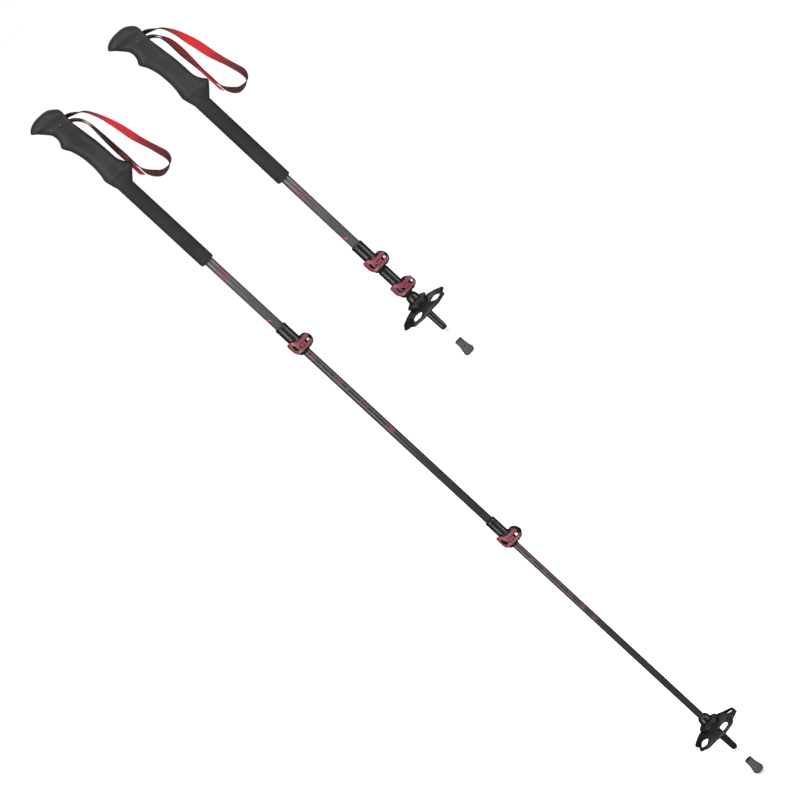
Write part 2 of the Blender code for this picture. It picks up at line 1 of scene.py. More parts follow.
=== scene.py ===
"""The looks of a pair of three-section trekking poles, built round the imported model.

Shapes are in mm and are placed in the row frame in metres.  Each piece is made at its rest place with
its own origin left at the frame's origin, so a material's Object coordinates are row-frame metres.
"""

import math

import bmesh
import bpy
from mathutils import Matrix, Vector


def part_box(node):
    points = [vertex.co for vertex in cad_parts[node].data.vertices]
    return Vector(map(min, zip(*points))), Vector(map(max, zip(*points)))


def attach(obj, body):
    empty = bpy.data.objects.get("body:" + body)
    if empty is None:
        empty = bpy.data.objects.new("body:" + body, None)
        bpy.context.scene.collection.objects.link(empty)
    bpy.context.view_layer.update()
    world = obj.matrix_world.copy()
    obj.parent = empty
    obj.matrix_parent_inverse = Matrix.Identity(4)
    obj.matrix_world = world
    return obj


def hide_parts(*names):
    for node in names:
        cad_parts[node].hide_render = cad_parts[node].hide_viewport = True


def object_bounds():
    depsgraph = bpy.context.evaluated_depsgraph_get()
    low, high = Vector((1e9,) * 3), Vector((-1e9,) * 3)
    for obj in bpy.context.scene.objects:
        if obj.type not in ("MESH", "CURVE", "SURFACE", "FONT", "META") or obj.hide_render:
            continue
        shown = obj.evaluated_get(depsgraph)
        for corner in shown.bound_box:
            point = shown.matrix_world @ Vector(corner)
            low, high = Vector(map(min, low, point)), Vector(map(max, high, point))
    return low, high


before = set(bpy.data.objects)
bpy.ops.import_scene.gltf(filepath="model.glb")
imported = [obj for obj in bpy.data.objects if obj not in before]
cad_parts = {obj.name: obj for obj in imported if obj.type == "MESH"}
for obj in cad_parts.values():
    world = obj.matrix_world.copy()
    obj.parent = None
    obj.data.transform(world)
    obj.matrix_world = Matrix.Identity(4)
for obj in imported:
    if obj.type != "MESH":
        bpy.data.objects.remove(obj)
CAD_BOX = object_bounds()

MM = 0.001
SLIVER = 0.003 * MM     # vertices nearer than this, after a cut, are one vertex
POLES = ("a", "b")
GAP = 0.3
FRONT_POWER = 2.3

# Sizes repeated from the design, in mm; drops are measured from the top of the grip, downwards.
UPPER_R, MIDDLE_R, LOWER_R, WALL = 7.0, 6.0, 5.0, 0.65
TUBE_TOP = 46.5
SLEEVE_CENTRE, SLEEVE_R, SLEEVE_END = -1.0, 11.3, 305.4
SLOT_TOP, SLOT_FLOOR, SLOT_DEPTH, SLOT_HALF = 19.2, 43.0, -10.6, 10.3
PIN_X, PIN_DROP, PIN_R = -1.4, 26.6, 2.0
STRAP_WIDTH, STRAP_THICK = 18.0, 1.35
LOCK_DROP, COLLAR_LENGTH = 38.2, 50.8
FERRULE_END, POINT_DROP = 69.8, 77.1
LOWER_TUBE_DOWN = 13.7
CAP_LENGTH, CAP_BORE_DEPTH = 25.3, 20.5
DRAWN_LOWER_COLLAR, DRAWN_FERRULE = 849.0, 1273.4
UPPER_TURN = {"a": -4.5, "b": -3.5}
SECTION_TURN = {"a": -14.0, "b": 7.5}
BASKET_TURN = {"a": 1.0, "b": 25.5}
LOBES, RIM_R, NOTCH_R, WEB_R = 5, 41.0, 34.0, 24.0

# Sections of the grip: front x, front drop, rear x, rear drop, half width, and how square the rear is.
GRIP_SECTIONS = [
    (-23.9, 0.3, -11.6, 0.0, 5.0, 2.3), (-29.4, 1.8, -3.0, 1.1, 9.5, 2.3),
    (-34.2, 4.4, 3.6, 3.8, 12.4, 2.3), (-37.4, 8.3, 10.5, 9.8, 14.5, 2.6),
    (-36.2, 10.6, 12.9, 13.6, 15.0, 4.0), (-31.5, 15.0, 13.8, 18.0, 15.3, 6.0),
    (-23.4, 24.9, 13.8, 26.0, 15.0, 6.0), (-19.4, 31.0, 13.5, 31.5, 14.6, 6.0),
    (-18.2, 38.5, 13.1, 38.5, 13.8, 6.0), (-19.8, 45.5, 13.2, 45.5, 13.5, 5.0),
    (-23.2, 51.5, 14.0, 51.5, 13.7, 3.4), (-21.6, 57.0, 14.6, 57.0, 13.8, 2.6),
    (-17.6, 65.0, 15.4, 65.0, 13.8, 2.3), (-13.9, 81.0, 17.1, 81.0, 13.8, 2.3),
    (-12.9, 100.0, 17.9, 100.0, 13.7, 2.3), (-14.2, 115.5, 18.4, 115.5, 14.0, 2.3),
    (-16.4, 126.0, 22.4, 126.4, 14.8, 2.3), (-15.4, 133.0, 27.3, 133.6, 15.0, 2.3),
    (-14.4, 138.0, 25.0, 138.6, 14.2, 2.3), (-12.4, 145.6, 10.7, 153.1, 11.4, 2.3)]

# The grip's brow under the crown, the crease above its flare, and how the flare narrows to the rear.
BROW_DROP, BROW_SLOPE, CREASE_DROP = 11.5, 0.14, 125.6
FLARE_DROPS, FLARE_X, FLARE_PINCH = (118, 150), (8, 27.3), 0.20

# The strap's route: x, drop, y, and the width that shows from the front (negative shows its back).
TAIL = {
    "a": [(25.7, 162.0, 18.0, 4.6), (25.6, 143.5, 18.0, 4.6), (25.6, 123.0, 17.5, 4.4),
          (25.6, 102.5, 8.0, 3.6), (25.8, 84.0, 1.5, 2.4), (26.2, 68.0, 0.0, 1.4),
          (25.9, 59.0, 0.0, 0.8), (24.6, 52.2, 0.0, 0.4), (22.2, 46.2, 0.0, 0.0),
          (19.5, 42.2, 0.0, 0.0), (16.6, 39.3, 0.0, 0.0), (13.3, 37.0, 0.0, 0.0),
          (7.5, 34.9, 0.0, 0.0), (2.5, 32.6, 0.0, 0.0)],
    "b": [(29.6, 160.5, 0.0, 1.6), (29.4, 143.5, 0.0, 1.4), (29.3, 121.0, 0.0, 1.6),
          (29.1, 107.0, 0.0, 3.5), (29.0, 96.0, 0.0, 5.2), (28.9, 84.0, 0.0, 6.6),
          (28.8, 70.2, 0.0, 6.2), (28.0, 60.8, 0.0, 4.6), (26.0, 53.2, 0.0, 2.4),
          (23.2, 46.9, 0.0, 0.8), (19.9, 42.2, 0.0, 0.0), (16.7, 39.2, 0.0, 0.0),
          (13.3, 37.0, 0.0, 0.0), (7.5, 34.9, 0.0, 0.0), (2.5, 32.6, 0.0, 0.0)]}
HEAD_EXIT = [(6.8, 24.6, 0.0, -4.0), (13.7, 26.8, 0.0, -7.0), (19.1, 29.4, 0.0, -6.4),
             (26.0, 33.8, 0.0, -3.6), (34.2, 40.2, 0.0, 0.0)]
OUTER_RUN = {
    "a": [(39.6, 49.2, 0.0, 2.2), (44.4, 61.5, 0.0, 3.8), (48.3, 75.2, 0.0, 6.4),
          (52.0, 91.6, 0.0, 8.8), (54.9, 109.4, 0.0, 10.0), (57.8, 123.0, 0.0, 8.6),
          (61.8, 138.1, 0.0, 7.8), (65.6, 153.1, 0.0, 8.8)],
    "b": [(39.6, 49.2, 0.0, 3.0), (44.4, 61.5, 0.0, 7.0), (47.8, 75.2, 0.0, 10.3),
          (51.7, 91.6, 0.0, 11.9), (54.7, 109.4, 0.0, 11.5), (57.8, 123.0, 0.0, 9.8),
          (61.8, 138.1, 0.0, 8.0), (65.6, 153.1, 0.0, 8.2)]}
FOOT_TURN = [(67.6, 164.0, 0.0, 8.8), (64.9, 172.8, 0.0, 5.0), (57.4, 176.6, 0.0, 0.0),
             (46.5, 175.8, 0.0, -5.4)]
RETURN_RUN = {
    "a": [(39.0, 169.5, 0.0, -7.4), (32.8, 159.5, 0.0, -4.6), (30.2, 147.6, 0.0, 0.5),
          (29.8, 134.0, 0.0, 1.6), (30.0, 120.0, 0.0, 1.8), (29.3, 102.0, 0.0, 2.0),
          (28.8, 84.0, 0.0, 2.2), (28.5, 68.0, 0.0, 1.4), (28.1, 58.3, 0.0, 0.8),
          (26.7, 51.1, 0.0, 0.4), (24.1, 44.8, 0.0, 0.0), (20.8, 40.2, 0.0, 0.0),
          (17.6, 36.9, 0.0, 0.0), (13.7, 34.2, 0.0, 0.0), (8.6, 32.0, 0.0, 0.0),
          (5.9, 30.6, 0.0, 0.0)],
    "b": [(39.4, 169.5, 0.0, -6.6), (34.0, 159.5, 0.0, -3.0), (32.2, 147.6, 0.0, 0.6),
          (31.9, 134.0, 0.0, 1.4), (31.6, 121.0, 0.0, 1.6), (31.4, 107.0, 0.0, 3.5),
          (31.3, 96.0, 0.0, 5.2), (31.3, 84.0, 0.0, 6.6), (31.2, 70.0, 0.0, 6.2),
          (30.4, 60.0, 0.0, 4.6), (28.2, 52.0, 0.0, 2.4), (25.0, 45.2, 0.0, 0.8),
          (21.3, 40.0, 0.0, 0.0), (17.8, 36.7, 0.0, 0.0), (13.7, 34.2, 0.0, 0.0),
          (8.6, 32.0, 0.0, 0.0), (5.9, 30.6, 0.0, 0.0)]}

# The turn round the pin: directions in degrees, and the gap left under the webbing.
WRAP_GAP = 0.5
WRAP_TURN = (-80, -115, -150, 180, 150, 115, 80)

# How red the printed webbing is along each run: (drop, share), from the head downwards.
TAIL_RED = {"a": [(40, 0.0), (90, 0.05), (116, 0.2), (128, 0.8), (162, 1.0)],
            "b": [(40, 0.0), (70, 0.3), (110, 0.35), (125, 0.9), (162, 1.0)]}
OUTER_RED = [(36, 0.0), (44, 0.15), (50, 0.37), (62, 0.6), (74, 0.95), (106, 0.95), (117, 0.62),
             (128, 0.42), (139, 0.32), (150, 0.25), (161, 0.14), (172, 0.06)]
RETURN_RED = {"a": [(40, 0.0), (95, 0.03), (125, 0.08), (150, 0.1), (177, 0.08)],
              "b": [(46, 0.0), (58, 0.5), (100, 0.42), (125, 0.35), (150, 0.14), (177, 0.08)]}


# ---------------------------------------------------------------- where the frame's nodes are

def middle_x(node):
    low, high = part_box(node)
    return (low.x + high.x) / 2


def top_of(node):
    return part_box(node)[1].z


AXIS_X = {pole: middle_x(f"lower_tube_{pole}") for pole in POLES}


# ---------------------------------------------------------------- mesh helpers

def finished(bm, name="shape"):
    """Turn a bmesh in mm into a mesh in metres with its faces pointing out."""
    bmesh.ops.recalc_face_normals(bm, faces=bm.faces)
    bmesh.ops.scale(bm, vec=(MM, MM, MM), verts=bm.verts)
    mesh = bpy.data.meshes.new(name)
    bm.to_mesh(mesh)
    bm.free()
    return mesh


def bridged(bm, rings, closed):
    """Join rings of vertices in order; a ring of one vertex is a point on the axis."""
    pairs = list(zip(rings, rings[1:]))
    if closed:
        pairs.append((rings[-1], rings[0]))
    for first, second in pairs:
        count = max(len(first), len(second))
        for i in range(count):
            j = (i + 1) % count
            corners = [first[i % len(first)], first[j % len(first)]]
            corners += [second[j % len(second)], second[i % len(second)]]
            bm.faces.new(list(dict.fromkeys(corners)))


def filleted(points, radius, steps=3, closed=False):
    """The outline with each corner rounded by a short curve."""
    last = len(points) - 1
    out = []
    for i, (x, y) in enumerate(points):
        if not closed and i in (0, last):
            out.append((x, y))
            continue
        here = Vector((x, y))
        before = Vector(points[i - 1]) - here
        after = Vector(points[(i + 1) % len(points)]) - here
        reach = min(radius, before.length * 0.45, after.length * 0.45)
        start, end = here + before.normalized() * reach, here + after.normalized() * reach
        for step in range(steps + 1):
            t = step / steps
            p = start * (1 - t) ** 2 + here * (2 * t * (1 - t)) + end * t ** 2
            out.append((p.x, p.y))
    return out


def turned(profile, sides=96, outline=None):
    """Spin (radius, z) points round Z; outline, if given, moves a point for each direction."""
    bm = bmesh.new()
    rings = []
    for radius, z in profile:
        if radius <= 0:
            rings.append([bm.verts.new((0, 0, z))])
            continue
        ring = []
        for i in range(sides):
            angle = math.tau * i / sides
            r, level = outline(radius, z, angle) if outline else (radius, z)
            ring.append(bm.verts.new((r * math.cos(angle), r * math.sin(angle), level)))
        rings.append(ring)
    bridged(bm, rings, closed=profile[0][0] > 0)
    return finished(bm)


def rod(radius, bottom, top, sides=32):
    return turned([(0, top), (radius, top), (radius, bottom), (0, bottom)], sides)


def extruded(outline, low, high, axis="Z", rounding=0.0):
    """Extrude an outline: (x, y) points along Z, or (x, z) points along Y, with rounded edges."""
    bm = bmesh.new()
    rings = []
    for level in (low, high):
        if axis == "Z":
            rings.append([bm.verts.new((a, b, level)) for a, b in outline])
        else:
            rings.append([bm.verts.new((a, level, b)) for a, b in outline])
    bridged(bm, rings, closed=False)
    faces = [bm.faces.new(ring) for ring in rings]
    if rounding:
        edges = [edge for face in faces for edge in face.edges]
        bmesh.ops.bevel(bm, geom=edges, offset=rounding, segments=3, profile=0.5, affect="EDGES")
    return finished(bm)


def block(x, y, z):
    """A box from three (low, high) pairs."""
    corners = [(x[0], y[0]), (x[1], y[0]), (x[1], y[1]), (x[0], y[1])]
    return extruded(corners, z[0], z[1])


def moved(mesh, offset=(0, 0, 0), turn=None):
    """A copy of a mesh, turned by a rotation matrix and then moved, in mm."""
    copy = mesh.copy()
    if turn:
        copy.transform(turn)
    copy.transform(Matrix.Translation(Vector(offset) * MM))
    return copy


def baked(mesh, *steps):
    """The mesh with modifiers applied: each step is a modifier kind and its settings."""
    blank = bpy.data.objects.new("blank", mesh)
    bpy.context.scene.collection.objects.link(blank)
    for kind, settings in steps:
        modifier = blank.modifiers.new("step", kind)
        for key, value in settings.items():
            setattr(modifier, key, value)
    bpy.context.view_layer.update()
    seen = blank.evaluated_get(bpy.context.evaluated_depsgraph_get())
    result = bpy.data.meshes.new_from_object(seen)
    bpy.data.objects.remove(blank)
    return result


def combined(base, other, operation):
    """The mesh of base with other joined to it, cut from it or kept in common with it."""
    tool = bpy.data.objects.new("tool", other)
    bpy.context.scene.collection.objects.link(tool)
    result = baked(base, ("BOOLEAN", {"operation": operation, "object": tool}))
    bpy.data.objects.remove(tool)
    return result


def cut(base, *tools):
    """The base with the tools cut from it, without the slivers that the cuts leave."""
    for tool in tools:
        base = combined(base, tool, "DIFFERENCE")
    bm = bmesh.new()
    bm.from_mesh(base)
    bmesh.ops.remove_doubles(bm, verts=bm.verts, dist=SLIVER)
    bmesh.ops.dissolve_degenerate(bm, edges=bm.edges, dist=SLIVER)
    bm.to_mesh(base)
    bm.free()
    return base


def moulded(mesh, voxel, passes, share):
    """The mesh rebuilt on a fine grid, smoothed so that its edges are rounded, and thinned out."""
    return baked(mesh, ("REMESH", {"mode": "VOXEL", "voxel_size": voxel * MM, "use_smooth_shade": True}),
                 ("SMOOTH", {"factor": 0.5, "iterations": passes}),
                 ("DECIMATE", {"ratio": share}))


ALONG_Y = Matrix.Rotation(math.radians(90), 4, "X")


def spline(values, steps):
    """Tuples along a Catmull-Rom curve through the given tuples."""
    rows = [values[0]] + list(values) + [values[-1]]
    out = []
    for p0, p1, p2, p3 in zip(rows, rows[1:], rows[2:], rows[3:]):
        for i in range(steps):
            t = i / steps
            out.append(tuple(0.5 * (2 * b + (c - a) * t + (2 * a - 5 * b + 4 * c - d) * t ** 2
                                    + (3 * b - a - 3 * c + d) * t ** 3)
                             for a, b, c, d in zip(p0, p1, p2, p3)))
    return out + [tuple(values[-1])]


def between(table, at):
    """The value at a place in a table of (place, value) rows, in rising order of place."""
    if at <= table[0][0]:
        return table[0][1]
    for (low, first), (high, second) in zip(table, table[1:]):
        if at <= high:
            return first + (second - first) * (at - low) / (high - low)
    return table[-1][1]


# ---------------------------------------------------------------- node materials

class Look:
    """A node material, with short ways to add nodes to it."""

    def __init__(self, name, roughness=0.5, **sockets):
        self.material = bpy.data.materials.new(name)
        self.material.use_nodes = True
        self.tree = self.material.node_tree
        self.shader = self.tree.nodes["Principled BSDF"]
        self.shader.inputs["Roughness"].default_value = roughness
        for key, value in sockets.items():
            self.shader.inputs[key.replace("_", " ")].default_value = value
        self.place = self.node("ShaderNodeTexCoord").outputs["Object"]

    def node(self, kind, inputs=None, **settings):
        made = self.tree.nodes.new(kind)
        for key, value in settings.items():
            setattr(made, key, value)
        for key, value in (inputs or {}).items():
            self.feed(made.inputs[key], value)
        return made

    def feed(self, socket, value):
        if isinstance(value, bpy.types.NodeSocket):
            self.tree.links.new(value, socket)
        else:
            socket.default_value = value

    def sum(self, operation, first, second=0.0, third=0.0):
        return self.node("ShaderNodeMath", {0: first, 1: second, 2: third}, operation=operation).outputs[0]

    def stretched(self, scale):
        return self.node("ShaderNodeMapping", {"Vector": self.place, "Scale": scale}).outputs[0]

    def noise(self, scale, detail=3.0, place=None, rough=0.55):
        inputs = {"Vector": place or self.place, "Scale": scale, "Detail": detail, "Roughness": rough}
        return self.node("ShaderNodeTexNoise", inputs).outputs[0]

    def cells(self, scale):
        inputs = {"Vector": self.place, "Scale": scale}
        return self.node("ShaderNodeTexVoronoi", inputs).outputs["Distance"]

    def range(self, value, low, high, out_low, out_high):
        inputs = {"Value": value, "From Min": low, "From Max": high, "To Min": out_low, "To Max": out_high}
        return self.node("ShaderNodeMapRange", inputs).outputs[0]

    def mix(self, share, first, second):
        made = self.node("ShaderNodeMix", data_type="RGBA")
        for index, value in ((0, share), (6, first), (7, second)):
            self.feed(made.inputs[index], (*value, 1.0) if isinstance(value, tuple) else value)
        return made.outputs[2]

    def attribute(self, name):
        return self.node("ShaderNodeAttribute", attribute_name=name).outputs["Fac"]

    def colour(self, value):
        self.feed(self.shader.inputs["Base Color"], value)

    def rough(self, value):
        self.feed(self.shader.inputs["Roughness"], value)

    def bump(self, *layers):
        """Layers of (height, depth in mm), laid on each other."""
        normal = None
        for height, depth in layers:
            inputs = {"Height": height, "Distance": depth * MM, "Strength": 1.0}
            if normal:
                inputs["Normal"] = normal
            normal = self.node("ShaderNodeBump", inputs).outputs[0]
        self.feed(self.shader.inputs["Normal"], normal)


def moulded_rubber(name, dark, light, grain, depth, rough):
    """Matt moulded rubber or foam: a fine grain, soft blotches and slightly polished high spots."""
    look = Look(name, IOR=1.42, Specular_IOR_Level=0.35)
    blotch = look.noise(28.0, 4.0)
    fine = look.noise(grain, 2.0)
    pores = look.cells(grain * 0.7)
    wear = look.noise(9.0, 6.0, rough=0.65)
    base = look.mix(look.range(blotch, 0.35, 0.68, 0.0, 1.0), dark, light)
    dust = look.range(look.sum("MULTIPLY", fine, wear), 0.2, 0.42, 0.0, 0.35)
    look.colour(look.mix(dust, base, tuple(min(1.0, c * 1.55) for c in light)))
    look.rough(look.range(wear, 0.3, 0.7, rough - 0.09, rough + 0.09))
    look.bump((fine, depth), (pores, depth * 0.7), (look.noise(240.0, 2.0), depth * 1.6))
    return look.material


def plastic(name, dark, light, rough, grain=1400.0, depth=0.012):
    """Injection-moulded plastic: a faint spark texture, small scuffs and a change of tone."""
    look = Look(name, IOR=1.48)
    tone = look.noise(45.0, 3.0)
    spark = look.noise(grain, 2.0)
    scuffs = look.noise(60.0, 5.0, look.stretched((9.0, 9.0, 1.0)), 0.7)
    base = look.mix(look.range(tone, 0.35, 0.65, 0.0, 1.0), dark, light)
    look.colour(look.mix(look.range(scuffs, 0.62, 0.8, 0.0, 0.35), base, tuple(c * 1.8 for c in light)))
    look.rough(look.range(scuffs, 0.4, 0.75, rough, rough + 0.14))
    look.bump((spark, depth), (scuffs, depth * 2))
    return look.material


def metal(name, colour, rough, metallic, drawn=(2600.0, 2600.0, 14.0), depth=0.006):
    """Metal with fine lines drawn along Z, small pits and a slight change of tone."""
    look = Look(name, Metallic=metallic)
    lines = look.noise(1.0, 3.0, look.stretched(drawn))
    stains = look.noise(38.0, 5.0, rough=0.7)
    darker = tuple(c * 0.78 for c in colour)
    look.colour(look.mix(look.range(stains, 0.35, 0.7, 0.0, 1.0), colour, darker))
    look.rough(look.range(look.sum("ADD", lines, stains), 0.7, 1.3, rough - 0.06, rough + 0.08))
    look.bump((lines, depth), (look.cells(700.0), depth * 0.6))
    return look.material


def webbing(name):
    """Woven strap: ribs across, warp threads along, a print that fades from red to black, and a painted
    highlight along both edges.
    """
    look = Look(name, Sheen_Weight=0.02, Sheen_Roughness=0.5, Specular_IOR_Level=0.2)
    along, across = look.attribute("along"), look.attribute("across")
    red = look.attribute("red")
    ribs = look.sum("SINE", look.sum("MULTIPLY", along, math.tau / 0.0011))
    warps = look.sum("SINE", look.sum("MULTIPLY", across, math.tau * 17))
    weave = look.sum("MULTIPLY", ribs, warps)
    slant = look.sum("SINE", look.sum("MULTIPLY_ADD", along, math.tau / 0.0032,
                                      look.sum("MULTIPLY", across, math.tau * 2.5)))
    speckle = look.noise(650.0, 2.0)
    print_edge = look.sum("MULTIPLY_ADD", slant, 0.12, look.sum("MULTIPLY", speckle, 0.3))
    printed = look.range(look.sum("SUBTRACT", red, print_edge), -0.13, 0.8, 0.0, 1.0)
    bright = look.mix(speckle, (0.42, 0.009, 0.018), (0.32, 0.006, 0.012))
    black = look.mix(speckle, (0.008, 0.006, 0.007), (0.016, 0.011, 0.012))
    cloth = look.mix(printed, black, bright)
    # Painted highlight: both edges of the strap are mixed a little towards a pale pink, standing in for
    # the sheen of an edge seen edge-on.
    edge_highlight = look.range(look.sum("ABSOLUTE", look.sum("SUBTRACT", across, 0.5)), 0.47, 0.5, 0.0, 0.2)
    look.colour(look.mix(edge_highlight, cloth, (0.12, 0.05, 0.05)))
    look.rough(look.range(weave, -1.0, 1.0, 0.85, 0.7))
    look.bump((weave, 0.10), (speckle, 0.05))
    return look.material


MATERIALS = {
    "grip": moulded_rubber("grip_rubber", (0.012, 0.0115, 0.0125), (0.018, 0.017, 0.018),
                           1500.0, 0.05, 0.55),
    "foam": moulded_rubber("sleeve_foam", (0.009, 0.0085, 0.009), (0.014, 0.013, 0.014),
                           1100.0, 0.09, 0.78),
    "cap_rubber": moulded_rubber("cap_rubber", (0.030, 0.031, 0.033), (0.046, 0.047, 0.049),
                                 1300.0, 0.04, 0.5),
    "collar": plastic("collar_plastic", (0.005, 0.005, 0.006), (0.009, 0.009, 0.010), 0.27),
    "basket": plastic("basket_plastic", (0.006, 0.005, 0.0045), (0.011, 0.009, 0.008), 0.4),
    "bush": plastic("bush_plastic", (0.030, 0.030, 0.033), (0.05, 0.05, 0.055), 0.4),
    "lever": plastic("lever_plastic", (0.105, 0.020, 0.028), (0.15, 0.028, 0.038), 0.34),
    "shaft": metal("shaft_anodised", (0.040, 0.039, 0.041), 0.32, 0.45),
    "upper_shaft": metal("upper_shaft_anodised", (0.095, 0.091, 0.094), 0.32, 0.45),
    "steel": metal("screw_steel", (0.80, 0.79, 0.75), 0.3, 0.45, (900.0, 900.0, 900.0)),
    "dark_steel": metal("pin_steel", (0.05, 0.05, 0.05), 0.45, 0.3, (900.0, 900.0, 900.0)),
    "carbide": metal("point_carbide", (0.72, 0.68, 0.62), 0.32, 0.3, (700.0, 700.0, 700.0)),
    "print": plastic("scale_print", (0.12, 0.022, 0.032), (0.16, 0.032, 0.042), 0.45),
    "bright_print": plastic("bright_print", (0.26, 0.014, 0.032), (0.31, 0.02, 0.040), 0.45),
    "dim_print": plastic("dim_print", (0.085, 0.022, 0.026), (0.11, 0.03, 0.034), 0.45),
    "webbing": webbing("strap_webbing")}


# ---------------------------------------------------------------- pieces

def piece(name, mesh, at, body, look, nodes=(), turn=0.0, sharp=40.0):
    """Place a mesh at a point of the row frame, let it ride on a body and stand for CAD nodes."""
    copy = mesh.copy()
    copy.transform(Matrix.Translation(Vector(at)) @ Matrix.Rotation(math.radians(turn), 4, "Z"))
    copy.materials.clear()
    copy.materials.append(MATERIALS[look])
    copy.shade_smooth()
    copy.set_sharp_from_angle(angle=math.radians(sharp))
    made = bpy.data.objects.new(name, copy)
    bpy.context.scene.collection.objects.link(made)
    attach(made, body)
    if nodes:
        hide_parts(*nodes)
    return made


def section_ring(bm, section, sides, shrink=1.0, lift=0.0):
    """One rounded section of the grip, tilted from its front drop to its rear drop."""
    front, front_drop, rear, rear_drop, half, rear_power = section
    ring = []
    for i in range(sides):
        angle = math.tau * i / sides
        power = rear_power if math.cos(angle) > 0 else FRONT_POWER
        across = math.copysign(abs(math.cos(angle)) ** (2 / power), math.cos(angle)) * shrink
        side = math.copysign(abs(math.sin(angle)) ** (2 / power), math.sin(angle)) * shrink
        share = (across + 1) / 2
        drop = front_drop + (rear_drop - front_drop) * share - lift
        ring.append(bm.verts.new((front + (rear - front) * share, half * side, -drop)))
    return ring


def swell(at, middle, width):
    """A smooth bump of height 1."""
    return math.exp(-((at - middle) / width) ** 2)


def grip_mesh():
    """The grip: a smooth loft with a brow under the crown, a crease over the flare and a slot."""
    sides = 88
    bm = bmesh.new()
    sections = spline(GRIP_SECTIONS, 8)
    crown = [(0.25, 0.42), (0.5, 0.36), (0.75, 0.22), (0.9, 0.1)]
    rings = [[bm.verts.new((-17.7, 0, 0.3))]]
    rings += [section_ring(bm, GRIP_SECTIONS[0], sides, shrink, lift) for shrink, lift in crown]
    rings += [section_ring(bm, section, sides) for section in sections]
    bridged(bm, rings, closed=False)
    bm.faces.new(rings[-1])
    for vert in bm.verts:
        x, drop = vert.co.x, -vert.co.z
        brow = BROW_DROP + BROW_SLOPE * (x + 12)
        vert.co.y *= 1 + 0.05 * swell(drop, brow, 3.2) - 0.07 * swell(drop, brow + 8.5, 4.5)
        vert.co.y *= 1 - 0.045 * swell(drop, CREASE_DROP, 1.3) + 0.05 * swell(drop, CREASE_DROP + 4.4, 2.6)
        if FLARE_DROPS[0] < drop < FLARE_DROPS[1] and x > FLARE_X[0]:
            vert.co.y *= 1 - FLARE_PINCH * between([(FLARE_X[0], 0), (FLARE_X[1], 1)], x)
    body = finished(bm)
    bore = rod(UPPER_R + GAP + 0.1, -170, -TUBE_TOP + GAP, 64)
    outline = filleted([(-SLOT_HALF, -SLOT_FLOOR), (SLOT_HALF, -SLOT_FLOOR), (SLOT_HALF, -SLOT_TOP),
                        (-SLOT_HALF, -SLOT_TOP)], 3.0, 4, closed=True)
    turn = Matrix(((0, 1, 0, 0), (1, 0, 0, 0), (0, 0, 1, 0), (0, 0, 0, 1)))
    slot = extruded(outline, SLOT_DEPTH, 30, axis="Y")
    slot.transform(turn)
    slot.flip_normals()
    pin_hole = moved(rod(PIN_R + GAP, -20, 20), (PIN_X, 0, -PIN_DROP), ALONG_Y)
    return cut(body, bore, slot, pin_hole)


def sleeve_mesh():
    """The foam sleeve: shallow rings, a slanted top and a rounded lower end."""
    front, front_drop, rear, rear_drop = GRIP_SECTIONS[-1][:4]
    rows = [(UPPER_R + GAP, 0.0, 0.0, 1.0)]
    top = front_drop + 4
    levels = 190
    for i in range(levels + 1):
        drop = top + (SLEEVE_END - 1.5 - top) * i / levels
        ripple = 0.10 * math.sin(math.tau * drop / 4.4) - 0.10
        tilt = max(0.0, 1 - (drop - top) / 14)
        rows.append((SLEEVE_R + ripple * min(1, i / 6), SLEEVE_CENTRE, drop, tilt))
    rows += [(SLEEVE_R - 0.5, SLEEVE_CENTRE, SLEEVE_END - 0.6, 0.0),
             (SLEEVE_R - 1.4, SLEEVE_CENTRE, SLEEVE_END, 0.0), (UPPER_R + GAP, 0.0, SLEEVE_END, 0.0)]
    bm = bmesh.new()
    rings = []
    for radius, shift, drop, tilt in rows:
        ring = []
        for i in range(64):
            angle = math.tau * i / 64
            x = shift + radius * math.cos(angle)
            slant = front_drop + (rear_drop - front_drop) * (x - front) / (rear - front) + GAP
            level = slant * tilt + drop * (1 - tilt) if drop else slant
            ring.append(bm.verts.new((x, radius * math.sin(angle), -max(level, slant))))
        rings.append(ring)
    bridged(bm, rings, closed=True)
    return finished(bm)


# Points of the strap's section: across and through, each from -1 to 1.
STRAP_SECTION = [(-1.0, 0.0), (-0.975, -0.7), (-0.93, -1.0), (-0.5, -1.0), (0.0, -1.0), (0.5, -1.0),
                 (0.93, -1.0), (0.975, -0.7), (1.0, 0.0), (0.975, 0.7), (0.93, 1.0), (0.5, 1.0),
                 (0.0, 1.0), (-0.5, 1.0), (-0.93, 1.0), (-0.975, 0.7)]


def strap_route(pole):
    """Points of the strap's middle line with the width shown and the redness at each."""
    wrap_r = PIN_R + WRAP_GAP + 0.8
    wrap = [(PIN_X + wrap_r * math.cos(math.radians(a)), PIN_DROP - wrap_r * math.sin(math.radians(a)),
             0, 0, 0) for a in WRAP_TURN]
    rows = [(*row, between(TAIL_RED[pole], row[1])) for row in TAIL[pole]] + wrap
    rows += [(*row, between(OUTER_RED, row[1])) for row in HEAD_EXIT + OUTER_RUN[pole] + FOOT_TURN]
    rows += [(*row, between(RETURN_RED[pole], row[1])) for row in RETURN_RUN[pole]]
    return spline(rows, 8)


